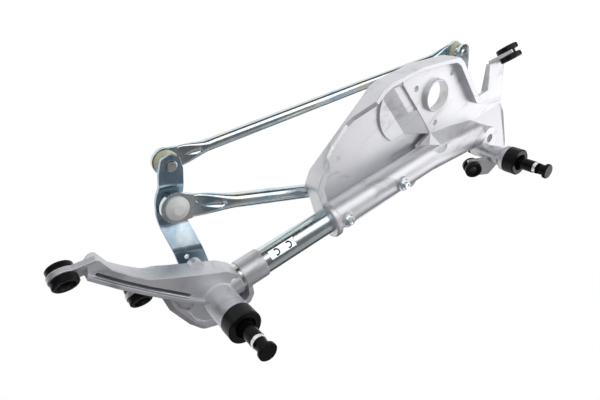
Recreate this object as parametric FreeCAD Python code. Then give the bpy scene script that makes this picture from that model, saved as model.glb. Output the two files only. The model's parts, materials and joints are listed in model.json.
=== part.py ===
import FreeCAD, Part
import math
import os

# Tandem wiper linkage: two cast pivot brackets joined by a frame tube, two pivot shafts with
# cranked levers, a long connecting link between the levers and a drive rod for the motor's crank.
# Everything is first placed about the left pivot shaft: X runs along the frame tube towards the
# right pivot, Y runs from the tube towards the motor seat, Z runs outwards along the shafts, with
# z = 0 on the tube's centre line. On export each piece is shifted so that the centre of the motor
# seat's collar face is the origin. All sizes are in millimetres.

Vector = FreeCAD.Vector
UP = Vector(0, 0, 1)
DOWN = Vector(0, 0, -1)
ALONG = Vector(1, 0, 0)

# Pivots and shafts
pivot_spacing_x = 401.0
pivot_spacing_y = -35.0
shaft_radius = 5.0
running_clearance = 0.04
shaft_collar_radius = 6.9
shaft_collar_height = 4.0
taper_length = 5.0
taper_top_radius = 4.4
thread_radius = 4.0
thread_length = 5.0
groove_depth = 0.6
clip_thickness = 1.2
clip_radius = 8.0
clip_gap = 4.0
shaft_step_radius = 6.2
rivet_end_radius = 6.2
rivet_end_height = 1.2

# Housings of the pivots
housing_radius = 15.8
housing_foot_radius = 14.0
housing_top = 47.8
left_housing_bottom = -24.0
right_housing_bottom = -4.0
right_neck_radius = 9.4
right_neck_waist = 14.0
right_throat_radius = 11.6
right_throat = 30.0
right_flare = 37.0
right_collar_base = 42.0
spigot_radius = 12.6
spigot_height = 4.2
spigot_top = housing_top + spigot_height
bush_radius = 6.8
bush_length = 16.0
bush_flange_radius = 8.2
bush_flange_thickness = 1.4
washer_radius = 9.0
washer_gap = 0.1
upper_washer_thickness = 1.5
lower_washer_thickness = 1.9
right_seal_thickness = 4.0
groove_z = spigot_top + washer_gap + upper_washer_thickness

# Black seal cups, shaft sleeves and end caps
cup_radius = 16.4
cup_height = 15.2
cup_top = housing_top + cup_height
cup_mouth_radius = 13.4
cup_lip_radius = 10.2
cup_lip_height = 2.4
sleeve_base_radius = 8.0
sleeve_tip_radius = 7.3
sleeve_reach = 19.0
sleeve_base = groove_z + clip_thickness + 0.4
shaft_collar_base = cup_top + sleeve_reach
shaft_collar_top = shaft_collar_base + shaft_collar_height
taper_top = shaft_collar_top + taper_length
thread_top = taper_top + thread_length
cap_base_radius = 6.3
cap_neck_radius = 6.7
cap_flange_radius = 8.9
cap_flange_height = 4.2
cap_roof = 4.0
cap_gap = 0.3
cap_top = thread_top + cap_roof
cap_flange_base = cap_top - cap_flange_height

# Frame tube
tube_radius = 14.0
tube_wall = 1.6
tube_start = 24.0
tube_end = 266.0
socket_radius = 15.2
socket_mouth = 57.0
crimp_positions = (72.0, 87.0)
crimp_angle = 42.0
crimp_depth = 0.8
crimp_radius = 3.9
crimp_slot = 1.4
crimp_opening = 1.6
crimp_flat_start = 64.0
crimp_flat_end = 95.0

# Left bracket
left_plate_top = -4.0
left_plate_bottom = -12.0
left_plate_bevel = 5.0
left_dish_end = 27.0
left_rim_inside = 31.0
inner_socket_radius = 15.0
base_ring_step = 0.8
base_ring_top = 13.4
left_web_top = 12.0
left_groove_floor = 2.0
left_groove_width = 3.2
left_rib_top = 16.0
left_rib_width = 3.4
left_plate_points = [(-44, 27), (-42, 2), (-31, -27), (-21, -43), (-5, -50), (20, -50), (36, -42),
                     (39, -28), (36, -8), (27, 10), (6, 24), (-14, 33), (-32, 36)]
left_bump_radius = 7.0
left_bump_x = -4.0
left_bump_y = 33.0
left_bump_top = -3.0
left_web_points = [(-75, 103), (-69, 86), (-59, 73), (-48, 60.5), (-30, 49.5), (-11, 38.5), (6, 29),
                   (17, 23), (27, 13), (33.5, 2), (36.5, -9), (35, -20), (27, -29), (14, -20),
                   (-14, 6), (-26, 20), (-38, 32), (-53, 48), (-66, 65), (-76, 79), (-87, 92),
                   (-84, 101)]
left_dish_points = [(19, 14), (25, 8), (29, 0), (31.5, -10), (30, -18), (24, -23), (10, -10)]
left_floor_points = [(-33, 15), (-28, -6), (-24, -23), (-17, -31), (-3, -39), (20, -41), (32, -36),
                     (33, -28), (20, 0), (-10, 22)]
left_floor_step = 1.6
left_rib_points = [(-87, 92.5), (-70, 70), (-55, 52), (-38.4, 33.2), (-26.2, 19.6), (-15, 8)]
left_groove_points = [(-80.5, 90), (-66.5, 71.5), (-51.5, 53.5), (-35.3, 35.8), (-23.2, 22.4)]
left_floor_pocket_points = [(-36, 22), (-34, 4), (-24, -12), (-17, 2), (-19, 18)]
underside_start = (-84.0, -1.0)
underside_end = (-40.0, -11.0)

# Grommets, their steel sleeves and the ears that hold them
grommet_radius = 10.6
large_grommet_radius = 13.2
grommet_disc = 6.4
grommet_neck_radius = 8.0
grommet_dish_radius = 7.4
grommet_dish_depth = 2.4
ear_thickness = 4.6
ear_radius = 11.4
fork_reach = 5.4
steel_sleeve_radius = 5.2
steel_sleeve_bore = 4.2
steel_sleeve_length = ear_thickness + 2 * (grommet_disc - grommet_dish_depth)
outer_left_mount = Vector(-102.0, 101.0, 8.0)
outer_left_normal = Vector(-0.07, -0.55, 0.83)
inner_left_mount = Vector(-59.2, 35.7, -12.0)
inner_left_normal = Vector(-0.10, -0.52, 0.85)
upper_right_mount = Vector(457.0, 77.0, 4.0)
upper_right_normal = Vector(-0.06, -0.82, 0.57)
lower_right_mount = Vector(377.0, -49.0, 10.0)
lower_right_normal = Vector(-0.60, 0.0, 0.80)
upper_right_root = upper_right_mount + Vector(-15.0, -10.6, -16.2)
lower_right_root = lower_right_mount + Vector(16.0, 0.0, 12.0)
arm_d_points = [(-3, -11.7), (-3, 11.7), (16, 11.3), (29.5, 18.6), (34, 19), (34, 3), (30.4, -0.4),
                (20.5, -12.6)]

# Motor bracket: tray with a spine around the frame tube
spine_radius = 17.0
spine_start = 143.0
spine_bend = 300.0
spine_end = 394.0
spine_drop = -9.0
flange_radius = 21.0
flange_width = 8.0
tray_back = -19.5
floor_top = -15.0
pad_top = -12.5
pocket_floor = -8.9
plate_top = -6.0
plate_back = -11.0
rim_top = 3.0
tray_outer_points = [(143, -6), (141, 22), (138, 42), (148, 56), (232, 105), (243, 112),
                     (256, 115), (305, 115), (351, 107), (366, 104), (373, 96), (400, 41), (408, 31),
                     (392, 4), (330, -6)]
tray_inner_points = [(149, -20), (148, 24), (146, 40), (153, 53), (236, 101), (247, 107),
                     (257, 110), (305, 110), (350, 102), (361, 99), (367, 93), (396, 33), (430, 20),
                     (430, -20)]
dip_profile = [(9, 4.5), (20, -9.7), (35, -12.7), (62, -14.9), (71, -12.6), (85, -4.0),
               (98, 4.0), (105, 20.0), (2, 20.0)]
dip_start = (148.0, 56.0)
dip_direction = 30.25
plate_points = [(281, 101), (301, 62), (319.4, 23.7), (318, 0), (392, -10), (430, -12), (466, -8),
                (458, 8), (456, 30), (430, 36), (404, 34), (374, 100), (366, 104), (280, 114)]
floor_points = [(120, -20), (120, 130), (286, 130), (286, 101), (306, 62), (323, 22), (323, -20)]
pad_arc = [(253.9, 92.7), (247.1, 73.4), (261.1, 38.8)]
pad_corners = [(281.6, 39.4), (300, 60), (285, 112), (257, 112)]
ramp_points = [(244.4, 113), (280.6, 39.4), (321.2, 23.1), (277.8, 113)]
ramp_inset = 0.25
pocket_points = [(268.8, 101.2), (285, 101.2), (304, 63.4), (285.8, 65)]
step_points = [(280, 112), (302, 64), (320, 18), (327, 18), (308, 66), (288, 112)]
foot_back = -21.5
skirt_low = [(296, 16), (319, 25), (355, 19), (394, 9), (436, -20)]
skirt_high = [(296, 12, 12), (319, 13, 10), (355, 8, 11), (394, 1, 11), (420, -20, 9)]
motor_x = 330.0
motor_y = 70.0
motor_hole_radius = 17.2
motor_collar_radius = 19.2
motor_collar_top = -1.0
motor_back_collar = -13.0
motor_pcd_radius = 35.2
motor_bolt_radius = 3.4
motor_bolt_angle = 27.0
scallop_x = 318.0
scallop_y = 22.0
scallop_radius = 16.0
scallop_floor = 10.0
web_points = [(392, 8), (457, 8), (467, -8), (449, -45), (434, -50), (404, -42), (398, -20)]
web_crest = Vector(457.0, 7.0, -6.0)
web_normal = Vector(0.0, 0.351, 0.936)
web_side_normal = Vector(0.423, 0.195, 0.886)
web_round = 6.0
round_pad_x = 404.8
round_pad_y = -16.2
round_pad_radius = 14.8
round_pad_top = 16.0
round_recess_radius = 5.6
round_recess_depth = 5.0
arm_back = -18.0
bolt_positions = (160.0, 245.0)
bolt_boss_radius = 8.6
bolt_boss_top = 19.0
bolt_flange_radius = 6.3
bolt_flange_thickness = 1.4
bolt_flats = 8.0
bolt_head_height = 5.2
bolt_thread_radius = 3.0
bolt_hole_radius = bolt_thread_radius + 0.2
bolt_length = 13.0

# Levers and ball studs
lever_thickness = 4.0
lever_hub_top = left_housing_bottom - washer_gap - lower_washer_thickness
lever_mid_top = -42.0
lever_tip_top = -38.0
lever_hub_radius = 14.2
lever_outline = [(-14.2, 0), (-14, 30), (-13.4, 66), (-11.5, 80), (-7.5, 92), (-1, 104), (4, 118),
                 (11, 130.5), (21, 132), (28, 126), (27.5, 114), (22, 98), (17, 80), (14, 60),
                 (14, 28), (14.2, 0)]
lever_fold_turn = -22.0
lever_hub_run = 37.0
lever_slope_run = 26.0
lever_mid_run = 27.0
lever_step_run = 9.5
lever_bend_radius = 14.0
mid_ball = Vector(6.0, 85.0, -31.0)
tip_ball = Vector(18.0, 121.0, -53.0)
right_ball_z = -49.0
right_lever_tip_top = -34.0
right_lever_hub_run = 44.0
right_lever_slope_run = 14.0
right_lever_tip_radius = 10.4
ball_radius = 7.0
stud_radius = 3.6
stud_shoulder_radius = 5.5
stud_shoulder = 1.2
rivet_radius = 5.8
rivet_height = 2.0
dimple_x = -4.0
dimple_y = 34.0
dimple_radius = 2.4

# Link, drive rod and their ball sockets
link_radius = 6.25
link_wall = 1.5
link_eye_radius = 13.2
link_eye_thickness = 4.4
link_bend_at = 239.0
link_round_from = 46.0
drive_radius = 7.9
drive_wall = 1.6
drive_eye_radius = 15.2
drive_eye_thickness = 5.0
drive_length = 318.0
drive_heading = -23.1
drive_round_from = 66.0
neck_share = 0.78
swage_step = 0.2
swage_overlap = 2.0
crease_share = 0.62
crease_tip = 0.3
socket_body_radius = 10.2
socket_dome_radius = 11.6
socket_lip_radius = 11.6
socket_lip = 1.4
socket_skirt = 7.6
ball_play = 0.05
skirt_opening = 5.4


def cylinder(x, y, z, radius, height, direction=UP):
    return Part.makeCylinder(radius, height, Vector(x, y, z), direction)


def tube_solid(x, y, z, outer, inner, height, direction=UP):
    return cylinder(x, y, z, outer, height, direction).cut(
        cylinder(x, y, z, inner, height, direction))


# One solid from several; seams between flush faces are cleared where that leaves a sound solid.
def join(shapes):
    whole = shapes[0].multiFuse(shapes[1:])
    tidy = whole.copy().removeSplitter()
    return tidy if tidy.isValid() else whole


# Closed outline through the given corners, each rounded by an arc that touches both sides.
def rounded_wire(points, radius, z):
    count = len(points)
    corners = []
    for i in range(count):
        here = Vector(points[i][0], points[i][1], z)
        before = Vector(points[i - 1][0], points[i - 1][1], z)
        after = Vector(points[(i + 1) % count][0], points[(i + 1) % count][1], z)
        back = (before - here)
        ahead = (after - here)
        back_length = back.Length
        ahead_length = ahead.Length
        back.normalize()
        ahead.normalize()
        half = back.getAngle(ahead) / 2.0
        reach = min(radius / math.tan(half), 0.45 * back_length, 0.45 * ahead_length)
        middle = back + ahead
        middle.normalize()
        bow = reach * math.tan(half)
        centre_gap = math.hypot(reach, bow)
        crest = here + middle * (centre_gap - bow)
        corners.append((here + back * reach, crest, here + ahead * reach))
    edges = []
    for i in range(count):
        start, crest, stop = corners[i]
        edges.append(Part.Arc(start, crest, stop).toShape())
        edges.append(Part.makeLine(stop, corners[(i + 1) % count][0]))
    return Part.Wire(edges)


def prism(points, low, high, radius=0.0):
    if radius > 0:
        wire = rounded_wire(points, radius, low)
    else:
        corners = [Vector(p[0], p[1], low) for p in points]
        wire = Part.makePolygon(corners + [corners[0]])
    return Part.Face(wire).extrude(Vector(0, 0, high - low))


# Solid between two rings of (x, y, z) corners; each ring is closed by a fan about its middle.
def ring_block(low, high, low_middle=None, high_middle=None):
    count = len(low)
    lower = [Vector(*p) for p in low]
    upper = [Vector(*p) for p in high]
    middles = []
    for ring, given in ((lower, low_middle), (upper, high_middle)):
        total = Vector(0, 0, 0)
        for p in ring:
            total = total + p
        middles.append(Vector(*given) if given else total * (1.0 / count))
    triangles = []
    for i in range(count):
        j = (i + 1) % count
        triangles.append((lower[i], lower[j], upper[j]))
        triangles.append((lower[i], upper[j], upper[i]))
        triangles.append((lower[j], lower[i], middles[0]))
        triangles.append((upper[i], upper[j], middles[1]))
    faces = [Part.Face(Part.makePolygon([a, b, c, a])) for a, b, c in triangles]
    solid = Part.makeSolid(Part.makeShell(faces))
    if solid.Volume < 0:
        solid.reverse()
    return solid


# Block over a flat outline whose lower and upper corners have given heights.
def sloped_block(points, lows, highs):
    low = [(p[0], p[1], z) for p, z in zip(points, lows)]
    high = [(p[0], p[1], z) for p, z in zip(points, highs)]
    return ring_block(low, high)


# Band of constant width that follows a row of points.
def band(points, width, low, high):
    pieces = []
    for i in range(len(points) - 1):
        start = Vector(points[i][0], points[i][1], low)
        stop = Vector(points[i + 1][0], points[i + 1][1], low)
        side = (stop - start).cross(UP)
        side.normalize()
        side = side * (width / 2.0)
        corners = [start + side, stop + side, stop - side, start - side, start + side]
        pieces.append(Part.Face(Part.makePolygon(corners)).extrude(Vector(0, 0, high - low)))
        pieces.append(cylinder(start.x, start.y, low, width / 2.0, high - low))
    pieces.append(cylinder(points[-1][0], points[-1][1], low, width / 2.0, high - low))
    return join(pieces)


# Moves a shape built about the origin so that its Z follows the normal and its X the heading.
def place(shape, centre, normal, heading):
    axis = Vector(normal)
    axis.normalize()
    along = heading - axis * heading.dot(axis)
    along.normalize()
    across = axis.cross(along)
    turn = FreeCAD.Rotation(along, across, axis, "ZXY")
    moved = shape.copy()
    moved.Placement = FreeCAD.Placement(centre, turn)
    return moved


# Solid of revolution about Z from (radius, height) corners.
def turned(profile):
    corners = [Vector(r, 0, z) for r, z in profile]
    face = Part.Face(Part.makePolygon(corners + [corners[0]]))
    return face.revolve(Vector(0, 0, 0), UP, 360)


# Ear plate around a grommet, with a flat neck that reaches back to the casting. An open ear is a
# fork: its prongs stop a little beyond the grommet's centre.
def ear(centre, normal, root, neck_width, is_open=False):
    heading = root - centre
    axis = Vector(normal)
    axis.normalize()
    reach = (heading - axis * heading.dot(axis)).Length
    half = ear_thickness / 2.0
    start = -fork_reach if is_open else 0.0
    plate = Part.makeBox(reach - start, neck_width, ear_thickness,
                         Vector(start, -neck_width / 2.0, -half))
    if is_open:
        plate = soften_upright(plate)
    else:
        plate = plate.fuse(cylinder(0, 0, -half, ear_radius, ear_thickness))
    return place(plate, centre, normal, heading)


# Rounds the two upright edges at the free end of a plate that lies along +X.
def soften_upright(plate):
    tips = [e for e in plate.Edges
            if e.BoundBox.ZLength > 0.9 * ear_thickness and e.BoundBox.XMax < 0.0]
    return plate.makeFillet(1.4, tips)


def ear_hole(centre, normal):
    hole = cylinder(0, 0, -ear_thickness, grommet_neck_radius, 2 * ear_thickness)
    return place(hole, centre, normal, ALONG)


# Slot of an open ear; it runs from the grommet's centre out through the free end.
def ear_slot(centre, normal, root):
    heading = root - centre
    width = 2 * grommet_neck_radius
    height = 2 * ear_thickness
    slot = Part.makeBox(3 * fork_reach, width, height,
                        Vector(-3 * fork_reach, -width / 2.0, -ear_thickness))
    hole = cylinder(0, 0, -ear_thickness, grommet_neck_radius, height)
    return place(slot.fuse(hole).removeSplitter(), centre, normal, heading)


# Everything above a plane through the given point.
def above(point, normal):
    return place(Part.makeBox(400, 400, 200, Vector(-200, -200, 0)), point, normal, ALONG)


def grommet(centre, normal, radius):
    half = ear_thickness / 2.0
    top = half + grommet_disc
    profile = [(steel_sleeve_radius, -top + grommet_dish_depth),
               (grommet_dish_radius - 1.0, -top + grommet_dish_depth), (grommet_dish_radius, -top),
               (radius - 1.0, -top), (radius, -top + 1.0), (radius, -half - 1.0),
               (radius - 1.0, -half), (grommet_neck_radius, -half),
               (grommet_neck_radius, half), (radius - 1.0, half), (radius, half + 1.0),
               (radius, top - 1.0), (radius - 1.0, top), (grommet_dish_radius, top),
               (grommet_dish_radius - 1.0, top - grommet_dish_depth),
               (steel_sleeve_radius, top - grommet_dish_depth)]
    return place(turned(profile), centre, normal, ALONG)


def steel_sleeve(centre, normal):
    half = steel_sleeve_length / 2.0
    ring = tube_solid(0, 0, -half, steel_sleeve_radius, steel_sleeve_bore, steel_sleeve_length)
    return place(ring, centre, normal, ALONG)


# Left bracket: pivot housing, tube socket, foot plate and the long arm with its two ears.
def left_bracket():
    plate = prism(left_plate_points, left_plate_bottom, left_plate_top, 12.0)
    rim = [e for e in plate.Edges if e.BoundBox.ZMin > left_plate_top - 0.01]
    plate = plate.makeChamfer(left_plate_bevel, rim)
    plate = plate.cut(prism(left_floor_points, left_plate_top - left_floor_step, 6.0, 5.0))
    web = prism(left_web_points, left_plate_bottom, left_web_top, 6.0)
    web = web.cut(prism(left_dish_points, left_plate_top, left_web_top + 5.0, 4.0))
    far_x = underside_start[0] - 20.0
    near_x = underside_end[0]
    slope = (underside_end[1] - underside_start[1]) / (near_x - underside_start[0])
    far_z = underside_start[1] - 20.0 * slope
    near_z = underside_end[1]
    under = sloped_block([(far_x, 20), (near_x, 20), (near_x, 120), (far_x, 120)],
                         [-40, -40, -40, -40], [far_z, near_z, near_z, far_z])
    web = web.cut(under)
    web = web.cut(band(left_groove_points, left_groove_width, left_groove_floor,
                       left_web_top + 5.0))
    rib = band(left_rib_points, left_rib_width, left_groove_floor, left_rib_top)
    body = join([
        cylinder(0, 0, left_plate_bottom, housing_radius, housing_top - left_plate_bottom),
        cylinder(0, 0, housing_top - 1.0, spigot_radius, spigot_top - housing_top + 1.0),
        cylinder(0, 0, left_housing_bottom, housing_foot_radius, 30.0),
        cylinder(0, 0, left_plate_bottom, housing_radius + base_ring_step,
                 base_ring_top - left_plate_bottom),
        cylinder(0, 0, 0, inner_socket_radius, left_dish_end, ALONG),
        cylinder(left_rim_inside, 0, 0, socket_radius, socket_mouth - left_rim_inside, ALONG),
        plate, web, rib,
        ear(outer_left_mount, outer_left_normal, Vector(-77, 97, 9), 17.0),
        ear(inner_left_mount, inner_left_normal, Vector(-34, 18, -9), 17.0),
        cylinder(left_bump_x, left_bump_y, left_plate_bottom, left_bump_radius,
                 left_bump_top - left_plate_bottom)])
    cuts = [prism(left_floor_pocket_points, left_plate_top - 3.5, 6.0, 4.0),
            cylinder(0, 0, left_housing_bottom - 1.0, bush_radius, 90.0),
            cylinder(0, 0, left_housing_bottom - 1.0, bush_flange_radius,
                     1.0 + bush_flange_thickness),
            cylinder(0, 0, spigot_top - bush_flange_thickness, bush_flange_radius, 5.0),
            cylinder(tube_start, 0, 0, tube_radius, 60.0, ALONG),
            ear_hole(outer_left_mount, outer_left_normal),
            ear_hole(inner_left_mount, inner_left_normal)]
    for tool in cuts:
        body = body.cut(tool)
    return body


# Centres of the three bolt holes around the motor seat.
def motor_bolt_centres():
    centres = []
    for i in range(3):
        angle = math.radians(motor_bolt_angle + 120.0 * i)
        centres.append((motor_x + motor_pcd_radius * math.cos(angle),
                        motor_y + motor_pcd_radius * math.sin(angle)))
    return centres


# Raised pad of the tray floor, whose free side is an arc.
def tray_pad():
    base = floor_top - 1.0
    start, crest, stop = [Vector(x, y, base) for x, y in pad_arc]
    corners = [stop] + [Vector(x, y, base) for x, y in pad_corners] + [start]
    edges = [Part.Arc(start, crest, stop).toShape()]
    for i in range(len(corners) - 1):
        edges.append(Part.makeLine(corners[i], corners[i + 1]))
    return Part.Face(Part.Wire(edges)).extrude(Vector(0, 0, pad_top - base))


# Floor, rim, pad and ramp of the tray that the motor sits in.
def tray():
    high = rim_top + 40.0
    outline = prism(tray_outer_points, tray_back - 3.0, high, 8.0)
    inner = prism(tray_inner_points, tray_back - 4.0, high + 1.0, 6.0)
    wall = prism(tray_outer_points, tray_back, rim_top, 8.0).cut(inner)
    angle = math.radians(dip_direction)
    along = Vector(math.cos(angle), math.sin(angle), 0)
    across = Vector(-math.sin(angle), math.cos(angle), 0)
    start = Vector(dip_start[0], dip_start[1], 0) - across * 12.0
    corners = [start + along * s + Vector(0, 0, z) for s, z in dip_profile]
    dip = Part.Face(Part.makePolygon(corners + [corners[0]])).extrude(across * 24.0)
    wall = wall.cut(dip)
    floor_plate = prism(floor_points, tray_back, floor_top).common(outline)
    foot_edge = [(150, -4), (150, 28), (262, 42), (288, 40), (334, 20), (334, -4)]
    foot = prism(foot_edge, foot_back, floor_top)
    base = floor_plate.fuse(foot)
    ramp_low = pad_top - ramp_inset
    ramp_high = plate_top - ramp_inset
    ramp = sloped_block(ramp_points, [floor_top - 1.0] * 4, [ramp_low, ramp_low, ramp_high, ramp_high])
    inside = join([tray_pad(), ramp.cut(prism(pocket_points, pocket_floor, plate_top + 5.0))])
    inside = inside.common(outline)
    plate = prism(plate_points, plate_back, plate_top, 3.0)
    step = prism(step_points, tray_back, plate_top - 0.5).common(outline)
    ribs = [prism([(150, 38), (258, 100), (260, 96), (152, 34)], foot_back, floor_top - 1.0),
            prism([(210, 6), (214, 6), (214, 84), (210, 84)], foot_back, floor_top - 1.0),
            prism([(370, -4), (374, -4), (374, 92), (370, 92)], plate_back - 6.0, plate_top - 1.0)]
    seat_height = motor_collar_top - motor_back_collar
    collar = cylinder(motor_x, motor_y, motor_back_collar, motor_collar_radius, seat_height)
    collar_rim = [e for e in collar.Edges if e.BoundBox.ZMin > motor_collar_top - 0.01]
    collar = collar.makeChamfer(0.8, collar_rim)
    pads = [cylinder(x, y, plate_back - 1.5, 8.0, 2.0) for x, y in motor_bolt_centres()]
    return [base, inside, wall, plate, step, collar] + ribs + pads


# Motor bracket: spine around the tube, tray, right pivot housing and the two ears on its arms.
def motor_bracket():
    right_x = pivot_spacing_x
    right_y = pivot_spacing_y
    centre_line = Vector(right_x, right_y, 0)
    turn = Vector(spine_end - spine_bend, spine_drop, 0)
    flange = cylinder(spine_start, 0, 0, flange_radius, flange_width, ALONG)
    flange = flange.makeChamfer(1.5, [e for e in flange.Edges if e.BoundBox.XLength < 0.01])
    spine = [cylinder(spine_start, 0, 0, spine_radius, spine_bend - spine_start, ALONG),
             cylinder(spine_bend, 0, 0, spine_radius, turn.Length, turn),
             Part.makeSphere(spine_radius, Vector(spine_bend, 0, 0)),
             flange]
    strip = Part.makeBox(62.0, 7.0, 3.0, Vector(172, -3.5, spine_radius - 2.2))
    strip.rotate(Vector(0, 0, 0), ALONG, 48.0)
    skirt = []
    for i in range(len(skirt_low) - 1):
        a = skirt_low[i]
        b = skirt_low[i + 1]
        c = skirt_high[i + 1]
        d = skirt_high[i]
        low = [(a[0], a[1], plate_back), (b[0], b[1], plate_back), (c[0], c[1] - 12, plate_back),
               (d[0], d[1] - 12, plate_back)]
        high = [(a[0], a[1], plate_top), (b[0], b[1], plate_top), c, d]
        skirt.append(ring_block(low, high))
    barrel = turned([(0, right_housing_bottom), (right_neck_radius, right_housing_bottom),
                     (right_neck_radius, right_neck_waist), (right_throat_radius, right_throat),
                     (right_throat_radius, right_flare), (housing_radius, right_collar_base),
                     (housing_radius, housing_top), (spigot_radius, housing_top),
                     (spigot_radius, spigot_top), (0, spigot_top)])
    barrel.translate(centre_line)
    web = prism(web_points, plate_back, 40.0, web_round)
    web = web.cut(above(web_crest, web_normal)).cut(above(web_crest, web_side_normal))
    housing = [barrel, web,
               cylinder(round_pad_x, round_pad_y, plate_back, round_pad_radius,
                        round_pad_top - plate_back)]
    arms = [sloped_block([(429, 20), (458, 6), (463, 57), (462, 67), (433, 69)],
                         [arm_back, arm_back, plate_top - 6.0, plate_top - 5.0, plate_top - 5.0],
                         [plate_top] * 5),
            ear(upper_right_mount, upper_right_normal, upper_right_root, 23.0, True),
            ear(lower_right_mount, lower_right_normal, lower_right_root, 23.4, True),
            place(prism(arm_d_points, -ear_thickness / 2.0, ear_thickness / 2.0, 2.0),
                  lower_right_mount, lower_right_normal, lower_right_root - lower_right_mount)]
    bosses = [cylinder(x, 0, tube_radius, bolt_boss_radius, bolt_boss_top - tube_radius)
              for x in bolt_positions]
    body = join(spine + tray() + skirt + housing + arms + bosses + [strip])
    cuts = [cylinder(motor_x, motor_y, -40.0, motor_hole_radius, 80.0),
            cylinder(scallop_x, scallop_y, scallop_floor, scallop_radius, 40.0),
            cylinder(spine_start - 5.0, 0, 0, tube_radius, tube_end - spine_start + 7.0, ALONG),
            cylinder(right_x, right_y, right_housing_bottom - 60.0, right_neck_radius + 1.0, 60.0),
            cylinder(round_pad_x, round_pad_y, round_pad_top - round_recess_depth,
                     round_recess_radius, 20.0),
            cylinder(right_x, right_y, right_housing_bottom - 1.0, bush_radius, 90.0),
            cylinder(right_x, right_y, right_housing_bottom - 1.0, bush_flange_radius,
                     1.0 + bush_flange_thickness),
            cylinder(right_x, right_y, spigot_top - bush_flange_thickness, bush_flange_radius, 5.0),
            ear_slot(upper_right_mount, upper_right_normal, upper_right_root),
            ear_slot(lower_right_mount, lower_right_normal, lower_right_root)]
    cuts += [cylinder(x, y, -40.0, motor_bolt_radius, 60.0) for x, y in motor_bolt_centres()]
    cuts += [cylinder(x, 0, 0, bolt_hole_radius, 30.0) for x in bolt_positions]
    for tool in cuts:
        body = body.cut(tool)
    return body


# Frame tube. Beside the left bracket its wall is pressed flat and lanced by two crescent slots; two
# holes take the bolts.
def frame_tube():
    def pressed(level):
        block = Part.makeBox(crimp_flat_end - crimp_flat_start, 40.0, 20.0,
                             Vector(crimp_flat_start, -20.0, level))
        block.rotate(Vector(0, 0, 0), ALONG, -crimp_angle)
        return block

    level = tube_radius - crimp_depth
    length = tube_end - tube_start
    hollow = cylinder(tube_start, 0, 0, tube_radius - tube_wall, length, ALONG)
    hollow = hollow.cut(pressed(level - tube_wall))
    tube = cylinder(tube_start, 0, 0, tube_radius, length, ALONG).cut(pressed(level)).cut(hollow)
    for x in crimp_positions:
        slot = tube_solid(x, 0, level - 4.0, crimp_radius, crimp_radius - crimp_slot, 8.0)
        slot = slot.cut(Part.makeBox(20.0, 20.0, 8.0,
                                     Vector(x - crimp_opening - 20.0, -10.0, level - 4.0)))
        slot.rotate(Vector(0, 0, 0), ALONG, -crimp_angle)
        tube = tube.cut(slot)
    for x in bolt_positions:
        tube = tube.cut(cylinder(x, 0, 0, bolt_hole_radius, 30.0))
    return tube


def hexagon(across_flats, z):
    radius = across_flats / math.sqrt(3.0)
    corners = [Vector(radius * math.cos(math.radians(60 * i)), radius * math.sin(math.radians(60 * i)), z)
               for i in range(7)]
    return Part.Face(Part.makePolygon(corners))


# Hexagon flange bolt whose seat is at z = 0 and whose shank points down.
def flange_bolt():
    head = hexagon(bolt_flats, 0.0).extrude(Vector(0, 0, bolt_head_height))
    trim = Part.makeCone(bolt_flats * 0.9, bolt_flats * 0.48, bolt_head_height + 0.01)
    head = head.common(trim)
    flange = Part.makeCone(bolt_flange_radius, bolt_flange_radius - 1.2, bolt_flange_thickness)
    shank = cylinder(0, 0, -bolt_length, bolt_thread_radius, bolt_length + 0.5)
    dish = Part.makeCone(1.6, 2.6, 1.0, Vector(0, 0, bolt_head_height - 1.0))
    return join([head, flange, shank]).cut(dish)


def tube_bolts():
    bolts = []
    for x in bolt_positions:
        bolt = flange_bolt()
        bolt.rotate(Vector(0, 0, 0), UP, 20.0)
        bolt.translate(Vector(x, 0, bolt_boss_top))
        bolts.append(bolt)
    return Part.makeCompound(bolts)


# Flanged bush; its flange lies at the given end of the housing.
def bush(x, y, z, flange_up):
    inner = shaft_radius + running_clearance
    base = z - bush_length if flange_up else z
    flange_z = z - bush_flange_thickness if flange_up else z
    body = cylinder(x, y, base, bush_radius, bush_length)
    body = body.fuse(cylinder(x, y, flange_z, bush_flange_radius, bush_flange_thickness))
    return body.removeSplitter().cut(cylinder(x, y, base - 1.0, inner, bush_length + 2.0))


# Pivot shaft from its riveted foot to the threaded tip under the cap.
def pivot_shaft(x, y, step_top):
    plate_back_z = lever_hub_top - lever_thickness
    foot = plate_back_z - rivet_end_height
    profile = [(0, foot), (rivet_end_radius - 0.8, foot), (rivet_end_radius, foot + 0.8),
               (rivet_end_radius, plate_back_z), (shaft_radius, plate_back_z),
               (shaft_radius, lever_hub_top)]
    if step_top > lever_hub_top:
        profile += [(shaft_step_radius, lever_hub_top), (shaft_step_radius, step_top),
                    (shaft_radius, step_top)]
    profile += [(shaft_radius, groove_z), (shaft_radius - groove_depth, groove_z),
                (shaft_radius - groove_depth, groove_z + clip_thickness),
                (shaft_radius, groove_z + clip_thickness),
                (shaft_radius, shaft_collar_base), (shaft_collar_radius, shaft_collar_base),
                (shaft_collar_radius, shaft_collar_top), (shaft_radius, shaft_collar_top),
                (taper_top_radius, taper_top), (thread_radius, taper_top),
                (thread_radius, thread_top - 0.8), (thread_radius - 0.8, thread_top),
                (0, thread_top)]
    shaft = turned(profile)
    shaft.translate(Vector(x, y, 0))
    return shaft


def circlip(x, y):
    ring = tube_solid(x, y, groove_z, clip_radius, shaft_radius - groove_depth, clip_thickness)
    gap = Part.makeBox(20.0, clip_gap, 10.0, Vector(x, y - clip_gap / 2.0, groove_z - 5.0))
    return ring.cut(gap)


# Thrust washer between two heights, bored for the shaft.
def washer(x, y, low, high, bore):
    return tube_solid(x, y, low, washer_radius, bore, high - low)


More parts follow.
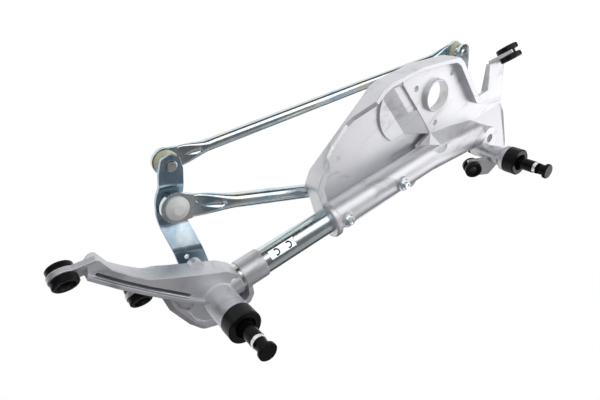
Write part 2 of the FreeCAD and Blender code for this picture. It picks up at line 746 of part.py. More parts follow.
# Rubber cup on the spigot of the housing, open towards the wiper.
def seal_cup(x, y):
    lip_z = cup_top - cup_lip_height
    profile = [(spigot_radius, housing_top), (cup_radius, housing_top), (cup_radius, cup_top - 1.0),
               (cup_radius - 1.0, cup_top), (cup_lip_radius, cup_top), (cup_lip_radius, lip_z),
               (cup_mouth_radius, lip_z - 2.0), (cup_mouth_radius, spigot_top),
               (spigot_radius, spigot_top)]
    cup = turned(profile)
    cup.translate(Vector(x, y, 0))
    return cup


def shaft_sleeve(x, y):
    profile = [(shaft_radius, sleeve_base), (sleeve_base_radius, sleeve_base),
               (sleeve_base_radius, cup_top + 1.0), (sleeve_tip_radius, cup_top + 3.0),
               (sleeve_tip_radius, shaft_collar_base), (shaft_radius, shaft_collar_base)]
    sleeve = turned(profile)
    sleeve.translate(Vector(x, y, 0))
    return sleeve


# Transport cap pressed over the tapered, threaded tip of the shaft.
def end_cap(x, y):
    gap = cap_gap
    profile = [(shaft_radius + gap, shaft_collar_top), (cap_neck_radius, shaft_collar_top),
               (cap_base_radius, shaft_collar_top + 4.0), (cap_base_radius, cap_flange_base - 1.0),
               (cap_flange_radius - 0.4, cap_flange_base), (cap_flange_radius, cap_flange_base + 0.6),
               (cap_flange_radius, cap_top - 0.8), (cap_flange_radius - 0.8, cap_top), (0, cap_top),
               (0, thread_top + gap), (thread_radius, thread_top + gap),
               (thread_radius, taper_top + gap), (taper_top_radius + gap, taper_top + gap)]
    cap = turned(profile)
    cap.translate(Vector(x, y, 0))
    return cap


# Bent plate of constant thickness whose upper face follows a row of (y, z) points.
def bent_plate(side, half_width):
    count = len(side)
    normals = []
    for i in range(count - 1):
        dy = side[i + 1][0] - side[i][0]
        dz = side[i + 1][1] - side[i][1]
        length = math.hypot(dy, dz)
        normals.append((dz / length, -dy / length))
    lower = []
    for i in range(count):
        before = normals[max(i - 1, 0)]
        after = normals[min(i, count - 2)]
        scale = lever_thickness / (1.0 + before[0] * after[0] + before[1] * after[1])
        lower.append((side[i][0] + (before[0] + after[0]) * scale,
                      side[i][1] + (before[1] + after[1]) * scale))
    ring = list(side) + lower[::-1]
    shape = prism(ring, -half_width, half_width, lever_bend_radius)
    return place(shape, Vector(0, 0, 0), ALONG, Vector(0, 1, 0))


def left_lever():
    outline = prism(lever_outline, -60.0, 0.0, 4.0)
    outline = outline.fuse(cylinder(0, 0, -60.0, lever_hub_radius, 60.0)).removeSplitter()
    mid_start = lever_hub_run + lever_slope_run
    mid_end = mid_start + lever_mid_run
    side = [(-25, lever_hub_top), (lever_hub_run, lever_hub_top), (mid_start, lever_mid_top),
            (mid_end, lever_mid_top), (mid_end + lever_step_run, lever_tip_top),
            (160, lever_tip_top)]
    plate = bent_plate(side, 70.0)
    plate.rotate(Vector(0, 0, 0), UP, lever_fold_turn)
    plate = plate.common(outline)
    holes = [cylinder(0, 0, -60.0, shaft_radius, 60.0),
             cylinder(mid_ball.x, mid_ball.y, -60.0, stud_radius, 60.0),
             cylinder(tip_ball.x, tip_ball.y, -60.0, stud_radius, 60.0),
             cylinder(dimple_x, dimple_y, -60.0, dimple_radius, 60.0)]
    for tool in holes:
        plate = plate.cut(tool)
    return plate


def right_lever():
    x = tip_ball.x
    y = tip_ball.y
    reach = math.hypot(x, y)
    hub = cylinder(0, 0, -60.0, lever_hub_radius, 60.0)
    tip = cylinder(x, y, -60.0, right_lever_tip_radius, 60.0)
    lean = math.asin((lever_hub_radius - right_lever_tip_radius) / reach)
    heading = math.atan2(y, x)
    left = heading + math.pi / 2 - lean
    right = heading - math.pi / 2 + lean
    corners = [(lever_hub_radius * math.cos(left), lever_hub_radius * math.sin(left)),
               (lever_hub_radius * math.cos(right), lever_hub_radius * math.sin(right)),
               (x + right_lever_tip_radius * math.cos(right),
                y + right_lever_tip_radius * math.sin(right)),
               (x + right_lever_tip_radius * math.cos(left),
                y + right_lever_tip_radius * math.sin(left))]
    outline = join([hub, tip, prism(corners, -60.0, 0.0)])
    slope_end = right_lever_hub_run + right_lever_slope_run
    side = [(-20, lever_hub_top), (right_lever_hub_run, lever_hub_top),
            (slope_end, right_lever_tip_top), (145, right_lever_tip_top)]
    plate = bent_plate(side, 60.0)
    plate.rotate(Vector(0, 0, 0), UP, math.degrees(heading) - 90.0)
    plate = plate.common(outline)
    for tool in (cylinder(0, 0, -60.0, shaft_radius, 60.0),
                 cylinder(x, y, -60.0, stud_radius, 60.0)):
        plate = plate.cut(tool)
    plate.translate(Vector(pivot_spacing_x, pivot_spacing_y, 0))
    return plate


# Ball stud riveted through a lever; up is +1 when the ball stands on the lever's outer side.
def ball_stud(centre, seat, up):
    gap = abs(centre.z - seat)
    neck = math.sqrt(ball_radius ** 2 - stud_radius ** 2)
    ball = Part.makeSphere(ball_radius)
    stem = cylinder(0, 0, -gap, stud_radius, gap)
    shoulder = cylinder(0, 0, -gap, stud_shoulder_radius, stud_shoulder)
    shank = cylinder(0, 0, -gap - lever_thickness, stud_radius, lever_thickness)
    head = Part.makeCone(rivet_radius - 1.4, rivet_radius, rivet_height,
                         Vector(0, 0, -gap - lever_thickness - rivet_height))
    flat = cylinder(0, 0, neck, ball_radius, 5.0)
    stud = join([ball.cut(flat), stem, shoulder, shank, head])
    if up < 0:
        stud.rotate(Vector(0, 0, 0), ALONG, 180.0)
    stud.translate(centre)
    return stud


# Section of a flattened tube across the X axis: two flats joined by half circles.
def flattened_section(x, half_width, half_height):
    flat = half_width - half_height
    edges = [Part.Arc(Vector(x, flat, -half_height), Vector(x, half_width, 0),
                      Vector(x, flat, half_height)).toShape(),
             Part.makeLine(Vector(x, flat, half_height), Vector(x, -flat, half_height)),
             Part.Arc(Vector(x, -flat, half_height), Vector(x, -half_width, 0),
                      Vector(x, -flat, -half_height)).toShape(),
             Part.makeLine(Vector(x, -flat, -half_height), Vector(x, flat, -half_height))]
    return Part.Wire(edges)


# Flat eye with a neck that swells into a round rod; the eye lies at the origin, the rod along +X.
# A crease runs up the neck and widens into a hollow, as left by the press.
def rod_end(eye_radius, thickness, radius, round_from):
    eye = cylinder(0, 0, -thickness / 2.0, eye_radius, thickness)
    start = eye_radius + 1.0
    wide = eye_radius * neck_share
    run = round_from - start
    plate = prism([(0, -eye_radius * 0.98), (start, -wide), (start, wide), (0, eye_radius * 0.98)],
                  -thickness / 2.0, thickness / 2.0)
    rings = []
    stations = 5
    for i in range(stations + 1):
        share = i / float(stations)
        ease = share * share * (3.0 - 2.0 * share)
        half_height = thickness / 2.0 + (radius - swage_step - thickness / 2.0) * ease
        half_width = wide + (radius - swage_step + 0.05 - wide) * ease
        rings.append(flattened_section(start + run * share, half_width, half_height))
    neck = Part.makeLoft(rings, True, False)
    hole = cylinder(0, 0, -thickness, socket_body_radius, 2 * thickness)
    crease_radius = radius * crease_share
    tip = Vector(start + 0.05 * run, 0, thickness / 2.0 + 0.1 + crease_tip)
    deep = Vector(start + 0.58 * run, 0, thickness / 2.0 + 0.1 + crease_radius)
    crease = Part.makeCone(crease_tip, crease_radius, (deep - tip).Length, tip, deep - tip)
    crease = crease.fuse(Part.makeSphere(crease_radius, deep))
    return join([eye, plate, neck]).cut(hole).cut(crease)


# Run of the connecting link: its two ball centres and the point where the tube bends.
def link_run():
    start = Vector(tip_ball)
    end = Vector(pivot_spacing_x + tip_ball.x, pivot_spacing_y + tip_ball.y, right_ball_z)
    heading = Vector(end.x - start.x, end.y - start.y, 0)
    bend = start + heading * (link_bend_at / heading.Length)
    return start, bend, end


# Direction across the last stretch of the link, in which its right eye and socket face.
def link_tilt():
    start, bend, end = link_run()
    rise = end - bend
    return rise.cross(UP).cross(rise)


# Connecting link between the two levers, made of tube with flattened ends.
def link_rod():
    start, bend, end = link_run()
    first = rod_end(link_eye_radius, link_eye_thickness, link_radius, link_round_from)
    first = place(first, start, UP, bend - start)
    second = rod_end(link_eye_radius, link_eye_thickness, link_radius, link_round_from)
    second = place(second, end, link_tilt(), bend - end)
    length_one = (bend - start).Length
    length_two = (end - bend).Length
    inset = link_round_from - swage_overlap
    near = start + (bend - start) * (inset / length_one)
    far = end + (bend - end) * (inset / length_two)

    def run(radius):
        one = Part.makeCylinder(radius, length_one - inset, near, bend - start)
        two = Part.makeCylinder(radius, length_two - inset, far, bend - end)
        return join([one, two, Part.makeSphere(radius, bend)])

    tube = run(link_radius).cut(run(link_radius - link_wall))
    return join([first, tube, second])


# Drive rod from the ball in the middle of the left lever to the motor's crank.
def drive_rod():
    near_end = rod_end(drive_eye_radius, drive_eye_thickness, drive_radius, drive_round_from)
    inset = drive_round_from - swage_overlap
    middle = tube_solid(inset, 0, 0, drive_radius, drive_radius - drive_wall,
                        drive_length - 2 * inset, ALONG)
    far_end = rod_end(drive_eye_radius, drive_eye_thickness, drive_radius, drive_round_from)
    far_end.rotate(Vector(0, 0, 0), UP, 180.0)
    far_end.translate(Vector(drive_length, 0, 0))
    rod = join([near_end, middle, far_end])
    angle = math.radians(drive_heading)
    return place(rod, mid_ball, UP, Vector(math.cos(angle), math.sin(angle), 0))


# Plastic socket snapped into an eye: dome on the closed side, ball mouth on the other.
def ball_socket(centre, thickness, normal):
    half = thickness / 2.0
    inner = ball_radius + ball_play
    profile = [(0, inner + 1.6), (5.0, inner + 1.2), (8.6, inner - 0.9),
               (socket_dome_radius, half + 1.8), (socket_dome_radius, half),
               (socket_body_radius, half), (socket_body_radius, -half),
               (socket_lip_radius, -half), (socket_lip_radius, -half - socket_lip),
               (socket_body_radius - 0.4, -socket_skirt), (0, -socket_skirt)]
    socket = turned(profile).cut(Part.makeSphere(inner))
    mouth = cylinder(0, 0, -socket_skirt - 1.0, skirt_opening, socket_skirt)
    flare = Part.makeCone(9.0, skirt_opening, 2.6, Vector(0, 0, -socket_skirt - 0.01))
    socket = socket.cut(mouth).cut(flare)
    return place(socket, centre, normal, ALONG)


def drive_end():
    angle = math.radians(drive_heading)
    return mid_ball + Vector(math.cos(angle), math.sin(angle), 0) * drive_length


right_x = pivot_spacing_x
right_y = pivot_spacing_y
right_ball = Vector(right_x + tip_ball.x, right_y + tip_ball.y, right_ball_z)
right_step_top = right_housing_bottom - washer_gap - right_seal_thickness
nodes = {
    "left_bracket": left_bracket(),
    "motor_bracket": motor_bracket(),
    "frame_tube": frame_tube(),
    "tube_bolts": tube_bolts(),
    "left_upper_bush": bush(0, 0, spigot_top, True),
    "left_lower_bush": bush(0, 0, left_housing_bottom, False),
    "right_upper_bush": bush(right_x, right_y, spigot_top, True),
    "right_lower_bush": bush(right_x, right_y, right_housing_bottom, False),
    "outer_left_grommet": grommet(outer_left_mount, outer_left_normal, grommet_radius),
    "inner_left_grommet": grommet(inner_left_mount, inner_left_normal, grommet_radius),
    "upper_right_grommet": grommet(upper_right_mount, upper_right_normal, large_grommet_radius),
    "lower_right_grommet": grommet(lower_right_mount, lower_right_normal, grommet_radius),
    "outer_left_sleeve": steel_sleeve(outer_left_mount, outer_left_normal),
    "inner_left_sleeve": steel_sleeve(inner_left_mount, inner_left_normal),
    "upper_right_sleeve": steel_sleeve(upper_right_mount, upper_right_normal),
    "lower_right_sleeve": steel_sleeve(lower_right_mount, lower_right_normal),
    "left_seal_cup": seal_cup(0, 0),
    "right_seal_cup": seal_cup(right_x, right_y),
    "left_shaft": pivot_shaft(0, 0, lever_hub_top),
    "right_shaft": pivot_shaft(right_x, right_y, right_step_top),
    "left_shaft_sleeve": shaft_sleeve(0, 0),
    "right_shaft_sleeve": shaft_sleeve(right_x, right_y),
    "left_cap": end_cap(0, 0),
    "right_cap": end_cap(right_x, right_y),
    "left_circlip": circlip(0, 0),
    "right_circlip": circlip(right_x, right_y),
    "left_upper_washer": washer(0, 0, spigot_top + washer_gap, groove_z, shaft_radius),
    "right_upper_washer": washer(right_x, right_y, spigot_top + washer_gap, groove_z, shaft_radius),
    "left_lower_washer": washer(0, 0, lever_hub_top, left_housing_bottom - washer_gap, shaft_radius),
    "right_lower_washer": washer(right_x, right_y, right_step_top,
                                 right_housing_bottom - washer_gap, shaft_radius),
    "left_lever": left_lever(),
    "right_lever": right_lever(),
    "middle_ball_stud": ball_stud(mid_ball, lever_mid_top, 1),
    "left_end_ball_stud": ball_stud(tip_ball, lever_tip_top - lever_thickness, -1),
    "right_end_ball_stud": ball_stud(right_ball, right_lever_tip_top - lever_thickness, -1),
    "connecting_link": link_rod(),
    "left_link_socket": ball_socket(tip_ball, link_eye_thickness, DOWN),
    "right_link_socket": ball_socket(right_ball, link_eye_thickness,
                                     link_tilt() * -1.0),
    "drive_rod": drive_rod(),
    "drive_rod_socket": ball_socket(mid_ball, drive_eye_thickness, UP),
    "motor_end_socket": ball_socket(drive_end(), drive_eye_thickness, DOWN),
}

os.makedirs("parts", exist_ok=True)
origin_shift = Vector(-motor_x, -motor_y, -motor_collar_top)
for name, shape in nodes.items():
    placed = shape.copy()
    placed.translate(origin_shift)
    placed.exportStep("parts/" + name + ".step")
    box = placed.BoundBox
    print(name, len(placed.Solids), placed.isValid(), round(placed.Volume, 1),
          [round(v, 1) for v in (box.XMin, box.YMin, box.ZMin, box.XMax, box.YMax, box.ZMax)])
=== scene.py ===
import json
import math
import bpy
from mathutils import Matrix, Vector

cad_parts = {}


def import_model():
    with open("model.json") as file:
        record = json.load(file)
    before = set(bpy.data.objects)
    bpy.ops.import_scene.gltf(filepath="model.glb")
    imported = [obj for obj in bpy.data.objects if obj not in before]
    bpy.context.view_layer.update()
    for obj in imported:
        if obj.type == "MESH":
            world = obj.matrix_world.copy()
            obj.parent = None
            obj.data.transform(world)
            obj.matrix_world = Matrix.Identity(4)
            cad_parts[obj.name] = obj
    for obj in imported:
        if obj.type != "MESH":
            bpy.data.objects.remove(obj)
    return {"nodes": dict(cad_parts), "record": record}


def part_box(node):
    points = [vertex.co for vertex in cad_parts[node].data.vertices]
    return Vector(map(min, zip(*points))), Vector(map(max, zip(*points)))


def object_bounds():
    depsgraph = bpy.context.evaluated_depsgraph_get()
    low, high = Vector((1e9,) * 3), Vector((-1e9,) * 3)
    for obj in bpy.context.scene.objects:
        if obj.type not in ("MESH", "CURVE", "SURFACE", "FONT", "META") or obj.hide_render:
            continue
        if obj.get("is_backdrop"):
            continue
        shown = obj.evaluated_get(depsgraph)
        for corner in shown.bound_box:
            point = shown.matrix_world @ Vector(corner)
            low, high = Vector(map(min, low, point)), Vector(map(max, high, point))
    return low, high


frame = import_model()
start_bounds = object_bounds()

# Row frame in metres: origin at the motor seat, +X along the frame tube, +Z along the wiper shafts.


def middle_of(node):
    """Centre of a node's box at rest."""
    low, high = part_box(node)
    return (Vector(low) + Vector(high)) * 0.5


def heading(from_node, to_node):
    """Angle in the XY plane of the line between two nodes."""
    run = middle_of(to_node) - middle_of(from_node)
    return math.atan2(run.y, run.x)


# Materials
class Tree:
    """Small helper around a material's node tree."""

    def __init__(self, name):
        self.mat = bpy.data.materials.new(name)
        self.mat.use_nodes = True
        self.nt = self.mat.node_tree
        self.nt.nodes.clear()
        self.out = self.add("ShaderNodeOutputMaterial")
        self.bsdf = self.add("ShaderNodeBsdfPrincipled")
        self.link(self.bsdf.outputs["BSDF"], self.out.inputs["Surface"])
        self.coord = self.add("ShaderNodeTexCoord")
        self.place = self.coord.outputs["Object"]

    def add(self, kind, **values):
        node = self.nt.nodes.new(kind)
        for key, value in values.items():
            setattr(node, key, value)
        return node

    def link(self, source, target):
        self.nt.links.new(source, target)

    def along(self, angle, stretch):
        """Object coordinates turned by angle about Z and scaled, for marks that run one way."""
        mapping = self.add("ShaderNodeMapping")
        mapping.inputs["Rotation"].default_value = (0.0, 0.0, -angle)
        self.link(self.coord.outputs["Object"], mapping.inputs["Vector"])
        scaled = self.add("ShaderNodeVectorMath", operation="MULTIPLY")
        scaled.inputs[1].default_value = stretch
        self.link(mapping.outputs["Vector"], scaled.inputs[0])
        return scaled.outputs["Vector"]

    def noise(self, scale, detail=3.0, rough=0.5, twist=0.0, place=None):
        """Noise, scale in features per metre."""
        node = self.add("ShaderNodeTexNoise")
        node.inputs["Scale"].default_value = scale
        node.inputs["Detail"].default_value = detail
        node.inputs["Roughness"].default_value = rough
        node.inputs["Distortion"].default_value = twist
        self.link(place or self.place, node.inputs["Vector"])
        return node.outputs["Fac"]

    def ramp(self, source, stops, ease=False):
        node = self.add("ShaderNodeValToRGB")
        if ease:
            node.color_ramp.interpolation = "EASE"
        elements = node.color_ramp.elements
        while len(elements) < len(stops):
            elements.new(0.5)
        for element, (pos, col) in zip(elements, stops):
            element.position = pos
            if isinstance(col, (int, float)):
                col = (col, col, col)
            element.color = (col[0], col[1], col[2], 1.0)
        self.link(source, node.inputs["Fac"])
        return node.outputs["Color"]

    def span(self, source, a, b, low, high):
        """Maps a..b onto low..high, clamped."""
        node = self.add("ShaderNodeMapRange")
        node.inputs["From Min"].default_value = a
        node.inputs["From Max"].default_value = b
        node.inputs["To Min"].default_value = low
        node.inputs["To Max"].default_value = high
        self.link(source, node.inputs["Value"])
        return node.outputs["Result"]

    def mix(self, kind, factor, a, b):
        node = self.add("ShaderNodeMix", data_type="RGBA", blend_type=kind)
        for socket, value in ((node.inputs[0], factor), (node.inputs[6], a), (node.inputs[7], b)):
            if isinstance(value, (int, float)):
                socket.default_value = value
            elif isinstance(value, tuple):
                socket.default_value = (value[0], value[1], value[2], 1.0)
            else:
                self.link(value, socket)
        return node.outputs[2]

    def add_up(self, a, b, kind="ADD"):
        node = self.add("ShaderNodeMath", operation=kind)
        for socket, value in ((node.inputs[0], a), (node.inputs[1], b)):
            if isinstance(value, (int, float)):
                socket.default_value = value
            else:
                self.link(value, socket)
        return node.outputs["Value"]

    def edges(self, radius):
        """0 on flat places, up to 1 where an edge bends within radius; it masks the painted edge highlight.
        """
        bevel = self.add("ShaderNodeBevel", samples=6)
        bevel.inputs["Radius"].default_value = radius
        geometry = self.add("ShaderNodeNewGeometry")
        dot = self.add("ShaderNodeVectorMath", operation="DOT_PRODUCT")
        self.link(bevel.outputs["Normal"], dot.inputs[0])
        self.link(geometry.outputs["Normal"], dot.inputs[1])
        return self.span(dot.outputs["Value"], 0.998, 0.93, 0.0, 1.0)

    def bump(self, layers, bevel=0.0):
        """Stacked bumps from (source, strength, distance), over a normal rounded at the edges."""
        last = None
        if bevel > 0:
            node = self.add("ShaderNodeBevel", samples=6)
            node.inputs["Radius"].default_value = bevel
            last = node.outputs["Normal"]
        for source, strength, distance in layers:
            node = self.add("ShaderNodeBump")
            node.inputs["Strength"].default_value = strength
            node.inputs["Distance"].default_value = distance
            self.link(source, node.inputs["Height"])
            if last:
                self.link(last, node.inputs["Normal"])
            last = node.outputs["Normal"]
        self.link(last, self.bsdf.inputs["Normal"])

    def finish(self, colour, rough, metallic=0.0, ior=1.5):
        self.link(colour, self.bsdf.inputs["Base Color"])
        self.link(rough, self.bsdf.inputs["Roughness"])
        self.bsdf.inputs["Metallic"].default_value = metallic
        self.bsdf.inputs["IOR"].default_value = ior
        return self.mat


def cast_aluminium(name, low, high):
    """Die-cast aluminium: satin, fine grained, with gray smears and pits, and a painted highlight that
    lightens the edges.
    """
    t = Tree(name)
    cloud = t.noise(26.0, 4.0, 0.55)
    colour = t.ramp(cloud, [(0.30, low), (0.70, high)])
    smear = t.noise(34.0, 6.0, 0.62, 1.2, t.along(0.15, (0.45, 1.0, 1.0)))
    colour = t.mix("MULTIPLY", 1.0, colour, t.ramp(smear, [(0.52, 1.0), (0.70, 0.70)], True))
    pit = t.noise(760.0, 2.0, 0.5)
    colour = t.mix("MULTIPLY", 1.0, colour, t.ramp(pit, [(0.25, 0.70), (0.33, 1.0)]))
    # Painted highlight: edges are lightened towards a pale gray where the surface bends.
    edge = t.edges(0.0011)
    colour = t.mix("MIX", t.span(edge, 0.0, 1.0, 0.0, 0.45), colour, (0.90, 0.90, 0.92))
    rough = t.span(cloud, 0.3, 0.7, 0.40, 0.50)
    grain = t.noise(1500.0, 3.0, 0.6)
    t.bump([(cloud, 0.10, 0.0015), (smear, 0.06, 0.0008), (grain, 0.16, 0.0002), (pit, 0.10, 0.0002)], 0.0011)
    return t.finish(colour, rough, 0.85)


def zinc(name, tints, rough_low, rough_high, angle=0.0, edge_round=0.0006):
    """Bright zinc plating: clear bluish film with faint coloured clouds, drawing lines and scuffs."""
    t = Tree(name)
    cloud = t.noise(30.0, 3.0, 0.5, 0.6)
    colour = t.ramp(cloud, [(0.26, tints[0]), (0.48, tints[1]), (0.72, tints[2])], True)
    line = t.noise(420.0, 3.0, 0.6, 0.0, t.along(angle, (0.035, 1.0, 1.0)))
    colour = t.mix("MULTIPLY", 1.0, colour, t.ramp(line, [(0.30, 0.90), (0.60, 1.0)]))
    scuff = t.noise(150.0, 5.0, 0.65)
    rough = t.add_up(t.span(scuff, 0.35, 0.70, rough_low, rough_high), t.span(line, 0.3, 0.7, 0.0, 0.05))
    # Painted highlight: edges are lightened towards a pale gray where the surface bends.
    colour = t.mix("MIX", t.span(t.edges(edge_round), 0.0, 1.0, 0.0, 0.5), colour, (0.86, 0.88, 0.89))
    t.bump([(cloud, 0.10, 0.0012), (scuff, 0.05, 0.0003), (line, 0.05, 0.0001)], edge_round)
    return t.finish(colour, rough, 1.0)


def black(name, base, rough_low, rough_high, grain, gloss, edge_round=0.0006):
    """Black rubber or moulding: a soft cloudiness in the gloss and a fine moulded grain."""
    t = Tree(name)
    cloud = t.noise(120.0, 3.0, 0.6)
    colour = t.ramp(cloud, [(0.35, base), (0.70, tuple(c * 1.5 for c in base))])
    dust = t.noise(900.0, 2.0, 0.5)
    colour = t.mix("MIX", t.span(dust, 0.72, 0.80, 0.0, 0.10), colour, (0.20, 0.20, 0.21))
    rough = t.span(cloud, 0.3, 0.7, rough_low, rough_high)
    t.bsdf.inputs["Specular IOR Level"].default_value = gloss
    t.bump([(cloud, 0.05, 0.0003), (t.noise(1700.0, 2.0, 0.5), grain, 0.0002)], edge_round)
    return t.finish(colour, rough)


def plastic(name, low, high, depth):
    """Unpainted nylon: slightly milky, with flow clouds."""
    t = Tree(name)
    cloud = t.noise(70.0, 3.0, 0.5, 0.4)
    colour = t.ramp(cloud, [(0.35, low), (0.68, high)])
    rough = t.span(cloud, 0.3, 0.7, 0.24, 0.36)
    t.bsdf.inputs["Subsurface Weight"].default_value = depth
    t.bsdf.inputs["Subsurface Scale"].default_value = 0.002
    t.bump([(cloud, 0.06, 0.0006), (t.noise(700.0, 2.0, 0.5), 0.04, 0.0002)], 0.0005)
    return t.finish(colour, rough)


link_angle = heading("left_link_socket", "right_link_socket")
drive_angle = heading("drive_rod_socket", "motor_end_socket")
lever_angle = math.pi / 2

# Tints of the zinc's film
teal = (0.34, 0.52, 0.63)
pale = (0.68, 0.75, 0.79)
straw = (0.74, 0.73, 0.62)
steel_blue = (0.27, 0.39, 0.50)

# One finish for each material slot, and its own for the pieces below
finishes = {
    "cast_aluminium": cast_aluminium("cast_aluminium_look", (0.72, 0.725, 0.755), (0.81, 0.81, 0.835)),
    "zinc_plated_steel": zinc("zinc_look", (teal, pale, straw), 0.13, 0.24),
    "bolt_steel": zinc("bolt_look", (pale, pale, straw), 0.18, 0.30, 0.0, 0.0003),
    "bright_steel": zinc("steel_look", ((0.74, 0.76, 0.78), (0.82, 0.82, 0.83), (0.80, 0.80, 0.80)),
                         0.14, 0.24, 0.0, 0.0003),
    "bronze_bush": zinc("bronze_look", ((0.48, 0.33, 0.18), (0.56, 0.39, 0.21), (0.60, 0.43, 0.25)),
                        0.30, 0.42, 0.0, 0.0003),
    "black_rubber": black("rubber_look", (0.005, 0.005, 0.0055), 0.26, 0.40, 0.08, 0.20),
    "black_plastic": black("cap_look", (0.003, 0.003, 0.0035), 0.10, 0.20, 0.03, 0.12),
    "natural_plastic": plastic("natural_look", (0.66, 0.64, 0.42), (0.78, 0.76, 0.58), 0.1),
    "white_plastic": plastic("white_look", (0.76, 0.77, 0.76), (0.83, 0.83, 0.81), 0.1),
}
# Painted shade: the four sleeves are near-black, standing in for the shade deep in the grommet bores.
sleeve_shade_finish = black("sleeve_shade_look", (0.009, 0.009, 0.010), 0.34, 0.46, 0.05, 0.35, 0.0003)
own_finishes = {
    # Painted shade: the left bracket gets a darker copy of the same cast aluminium.
    "left_bracket": cast_aluminium("left_casting_shaded_look", (0.62, 0.63, 0.66), (0.75, 0.755, 0.785)),
    "connecting_link": zinc("link_look", (teal, pale, straw), 0.10, 0.20, link_angle),
    "drive_rod": zinc("drive_look", (teal, pale, straw), 0.12, 0.22, drive_angle),
    "frame_tube": zinc("tube_look", ((0.58, 0.72, 0.78), (0.70, 0.79, 0.82), straw), 0.16, 0.26),
    "left_lever": zinc("lever_look", (steel_blue, (0.40, 0.52, 0.61), (0.60, 0.68, 0.73)),
                       0.14, 0.26, lever_angle),
    "right_lever": zinc("lever_two_look", (steel_blue, (0.50, 0.61, 0.69), pale),
                        0.14, 0.26, lever_angle),
}

slot_of = {p["node"]: p["material_slot"] for p in frame["record"]["subparts"]}
# The sleeves take the near-black painted-shade finish.
for corner in ("outer_left", "inner_left", "upper_right", "lower_right"):
    own_finishes[corner + "_sleeve"] = sleeve_shade_finish
for name, node in frame["nodes"].items():
    node.data.materials.clear()
    node.data.materials.append(own_finishes.get(name) or finishes[slot_of[name]])

# Floor, light and camera
scene = bpy.context.scene
scene.view_settings.view_transform = "Standard"


def floor():
    """A pale table top: white to the eye and in metal, with a trace of shadow; clear from below."""
    mesh = bpy.data.meshes.new("floor")
    low, high = -floor_half, floor_half
    mesh.from_pydata([(low, low, floor_z), (high, low, floor_z), (high, high, floor_z),
                      (low, high, floor_z)], [], [(0, 1, 2, 3)])
    obj = bpy.data.objects.new("floor", mesh)
    scene.collection.objects.link(obj)
    t = Tree("floor_look")
    t.nt.nodes.remove(t.bsdf)
    colour = t.ramp(t.noise(3.0, 2.0, 0.5), [(0.3, 0.76), (0.7, 0.80)])
    diffuse = t.add("ShaderNodeBsdfDiffuse")
    t.link(colour, diffuse.inputs["Color"])
    glow = t.add("ShaderNodeEmission")
    glow.inputs["Color"].default_value = (1.0, 1.0, 1.0, 1.0)
    glow.inputs["Strength"].default_value = floor_glow
    trace = t.add("ShaderNodeBsdfDiffuse")
    trace.inputs["Color"].default_value = (floor_trace, floor_trace, floor_trace, 1.0)
    seen = t.add("ShaderNodeAddShader")
    t.link(glow.outputs["Emission"], seen.inputs[0])
    t.link(trace.outputs["BSDF"], seen.inputs[1])
    path = t.add("ShaderNodeLightPath")
    mix = t.add("ShaderNodeMixShader")
    mirrored = t.add_up(path.outputs["Is Glossy Ray"], path.outputs["Is Transmission Ray"], "MAXIMUM")
    t.link(t.add_up(path.outputs["Is Camera Ray"], mirrored, "MAXIMUM"), mix.inputs["Fac"])
    t.link(diffuse.outputs["BSDF"], mix.inputs[1])
    t.link(seen.outputs["Shader"], mix.inputs[2])
    below = t.add("ShaderNodeMixShader")
    t.link(t.add("ShaderNodeNewGeometry").outputs["Backfacing"], below.inputs["Fac"])
    t.link(mix.outputs["Shader"], below.inputs[1])
    t.link(t.add("ShaderNodeBsdfTransparent").outputs["BSDF"], below.inputs[2])
    t.link(below.outputs["Shader"], t.out.inputs["Surface"])
    mesh.materials.append(t.mat)
    obj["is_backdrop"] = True


def softbox(name, azimuth, elevation, width, height, radiance, colour=(1.0, 1.0, 1.0)):
    """Rectangular lamp that faces the middle of the object, of a given brightness."""
    lamp = bpy.data.lights.new(name, "AREA")
    lamp.shape = "RECTANGLE"
    lamp.size = width
    lamp.size_y = height
    lamp.energy = radiance * math.pi * width * height
    lamp.color = colour
    obj = bpy.data.objects.new(name, lamp)
    scene.collection.objects.link(obj)
    az, el = math.radians(azimuth), math.radians(elevation)
    away = Vector((math.cos(el) * math.cos(az), math.cos(el) * math.sin(az), math.sin(el)))
    obj.location = light_target + away * light_distance
    obj.rotation_euler = (-away).to_track_quat("-Z", "Y").to_euler()


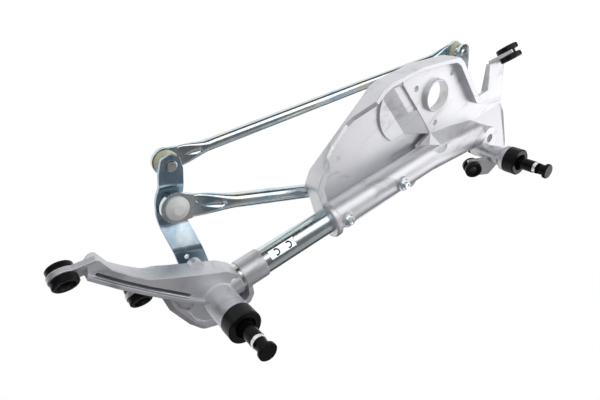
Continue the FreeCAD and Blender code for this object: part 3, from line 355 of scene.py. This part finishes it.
def world():
    """Dim room above a dark horizon; white to the camera."""
    w = bpy.data.worlds.new("studio")
    scene.world = w
    w.use_nodes = True
    nt = w.node_tree
    nt.nodes.clear()
    out = nt.nodes.new("ShaderNodeOutputWorld")
    coord = nt.nodes.new("ShaderNodeTexCoord")
    split = nt.nodes.new("ShaderNodeSeparateXYZ")
    nt.links.new(coord.outputs["Generated"], split.inputs["Vector"])
    ramp = nt.nodes.new("ShaderNodeValToRGB")
    elements = ramp.color_ramp.elements
    while len(elements) < len(room):
        elements.new(0.5)
    for element, (height, level) in zip(elements, room):
        element.position = (height + 1.0) / 2.0
        element.color = (level, level, level * 1.03, 1.0)
    shift = nt.nodes.new("ShaderNodeMapRange")
    shift.inputs["From Min"].default_value = -1.0
    shift.inputs["From Max"].default_value = 1.0
    nt.links.new(split.outputs["Z"], shift.inputs["Value"])
    nt.links.new(shift.outputs["Result"], ramp.inputs["Fac"])
    lit = nt.nodes.new("ShaderNodeBackground")
    nt.links.new(ramp.outputs["Color"], lit.inputs["Color"])
    plain = nt.nodes.new("ShaderNodeBackground")
    plain.inputs["Color"].default_value = (1.0, 1.0, 1.0, 1.0)
    path = nt.nodes.new("ShaderNodeLightPath")
    mix = nt.nodes.new("ShaderNodeMixShader")
    nt.links.new(path.outputs["Is Camera Ray"], mix.inputs["Fac"])
    nt.links.new(lit.outputs["Background"], mix.inputs[1])
    nt.links.new(plain.outputs["Background"], mix.inputs[2])
    nt.links.new(mix.outputs["Shader"], out.inputs["Surface"])


floor_half = 0.9
floor_z = -0.30
# White of the floor as seen: its own glow, and the share that the lamps' light and shadow add.
floor_glow = 0.88
floor_trace = 0.26
light_target = Vector((-0.13, -0.03, 0.0))
light_distance = 1.3
# Brightness of the room by the height of a direction: straight down, horizon, up.
room = [(-1.0, 0.05), (0.0, 0.05), (0.26, 0.10), (0.34, 0.38), (0.78, 0.38), (0.90, 0.14), (1.0, 0.12)]

floor()
world()
softbox("key", 45.0, 36.0, 1.25, 0.85, 1.5)
softbox("front", 108.0, 36.0, 1.10, 0.85, 1.3, (0.97, 0.98, 1.0))
softbox("back", -24.0, 32.0, 1.0, 0.80, 1.6)

# The camera's focal length, place and right, down and forward directions were fitted to the photo.
focal_pixels = 484.077
photo_width = 600.0
sensor_width = 36.0
camera_place = Vector((-0.411987, 0.244631, 0.359951))
camera_data = bpy.data.cameras.new("camera")
camera_data.sensor_width = sensor_width
camera_data.lens = focal_pixels / photo_width * sensor_width
camera_data.clip_start = 0.01
camera = bpy.data.objects.new("camera", camera_data)
scene.collection.objects.link(camera)
right = Vector((0.7864607, -0.1957772, 0.5857909))
down = Vector((-0.4660636, -0.8104721, 0.3548515))
ahead = Vector((0.4052953, -0.5520926, -0.7286491))
turn = Matrix((right, -down, -ahead)).transposed().to_4x4()
camera.matrix_world = Matrix.Translation(camera_place) @ turn
scene.camera = camera

end_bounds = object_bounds()


def plain(bounds):
    """The bounds as plain numbers, ready to be written."""
    if isinstance(bounds, dict):
        return {k: plain(v) for k, v in bounds.items()}
    if isinstance(bounds, (list, tuple, Vector)):
        return [plain(v) for v in bounds]
    return float(bounds)


{"start": plain(start_bounds), "end": plain(end_bounds)}
